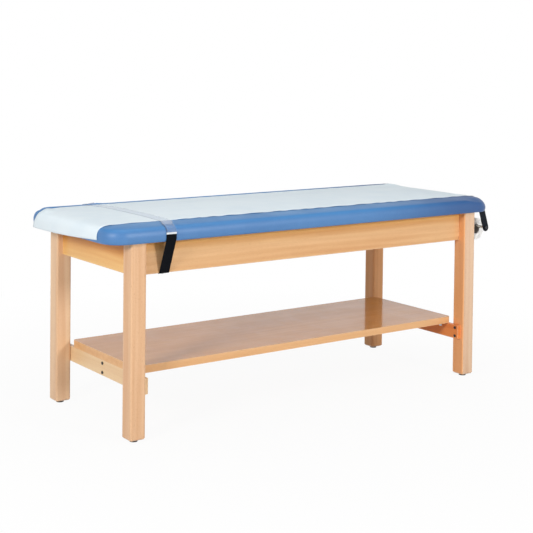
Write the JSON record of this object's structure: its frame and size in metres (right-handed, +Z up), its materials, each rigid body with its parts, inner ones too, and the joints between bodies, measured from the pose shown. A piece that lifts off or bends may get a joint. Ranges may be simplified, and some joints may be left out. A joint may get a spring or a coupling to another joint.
{
  "type": "treatment table",
  "caption": "Wooden treatment table with a padded vinyl top, storage shelf, exam paper under a clear elastic strap, and a roll dispenser under one end.",
  "frame": {"origin": "floor level under the middle of the object's bounding box", "axes": "+X to the head end with the paper roll, +Y to the back long side, +Z up"},
  "size_m": [1.9776, 0.6906, 0.7889],
  "materials": {
    "beech": "satin clear lacquer",
    "shelf_laminate": "satin wood-grain laminate",
    "dowel_wood": "bare",
    "plywood": "bare",
    "foam": "open cell foam",
    "blue_vinyl": "soft grain coated upholstery vinyl",
    "zinc_steel": "zinc plated",
    "bright_steel": "bright plated",
    "black_steel": "satin black",
    "brass": "plain",
    "black_plastic": "moulded",
    "paper": "smooth exam paper",
    "card": "wound card",
    "clear_film": "clear flexible film",
    "white_webbing": "woven",
    "black_elastic": "woven elastic"
  },
  "bodies": {
    "table": {"anchor_screws": "zinc_steel", "anchor_washers": "zinc_steel", "apron_back": "beech", "apron_dowels": "dowel_wood", "apron_foot": "beech", "apron_front": "beech", "apron_head": "beech", "brace_screws": "zinc_steel", "bracket_screws": "black_steel", "centre_rail": "beech", "clear_strip": "clear_film", "cleat_screws": "zinc_steel", "corner_brace_foot_back": "zinc_steel", "corner_brace_foot_front": "zinc_steel", "corner_brace_head_back": "zinc_steel", "corner_brace_head_front": "zinc_steel", "dispenser_bracket_back": "black_steel", "dispenser_bracket_front": "black_steel", "elastic_back": "black_elastic", "elastic_front": "black_elastic", "exam_paper": "paper", "foam_pad": "foam", "glide_inserts": "zinc_steel", "hanger_bolts": "zinc_steel", "hanger_nuts": "zinc_steel", "hanger_washers": "zinc_steel", "leg_bolt_inserts": "brass", "leg_bolts": "black_steel", "leg_foot_back": "beech", "leg_foot_front": "beech", "leg_head_back": "beech", "leg_head_front": "beech", "paper_web": "paper", "rail_barrel_nuts": "zinc_steel", "rail_bolts": "black_steel", "shelf_clip_screws": "zinc_steel", "shelf_clips": "zinc_steel", "shelf_edging": "beech", "shelf_panel": "shelf_laminate", "strap_cuff_back": "white_webbing", "strap_cuff_front": "white_webbing", "stretcher_foot": "beech", "stretcher_head": "beech", "top_board": "plywood", "top_cleat_back": "beech", "top_cleat_front": "beech", "vinyl_cover": "blue_vinyl"},
    "glide_foot_front": {"glide_foot_front": "black_plastic", "glide_stem_foot_front": "zinc_steel"},
    "glide_foot_back": {"glide_foot_back": "black_plastic", "glide_stem_foot_back": "zinc_steel"},
    "glide_head_front": {"glide_head_front": "black_plastic", "glide_stem_head_front": "zinc_steel"},
    "glide_head_back": {"glide_head_back": "black_plastic", "glide_stem_head_back": "zinc_steel"},
    "rod": {"dispenser_rod": "bright_steel", "rod_knob": "black_steel"},
    "roll": {"paper_roll": "paper", "roll_core": "card"}
  },
  "joints": [
    {"name": "glide_foot_front_height", "type": "slide", "parent": "table", "child": "glide_foot_front", "axis": [0, 0, -1], "range_m": [0, 0.012]},
    {"name": "glide_foot_back_height", "type": "slide", "parent": "table", "child": "glide_foot_back", "axis": [0, 0, -1], "range_m": [0, 0.012]},
    {"name": "glide_head_front_height", "type": "slide", "parent": "table", "child": "glide_head_front", "axis": [0, 0, -1], "range_m": [0, 0.012]},
    {"name": "glide_head_back_height", "type": "slide", "parent": "table", "child": "glide_head_back", "axis": [0, 0, -1], "range_m": [0, 0.012]},
    {"name": "rod_draw", "type": "slide", "parent": "table", "child": "rod", "axis": [0, -1, 0], "range_m": [0, 0.56]},
    {"name": "roll_spin", "type": "hinge", "parent": "table", "child": "roll", "pos_m": [0.93985, 0, 0.6313], "axis": [0, 1, 0], "continuous": true}
  ]
}
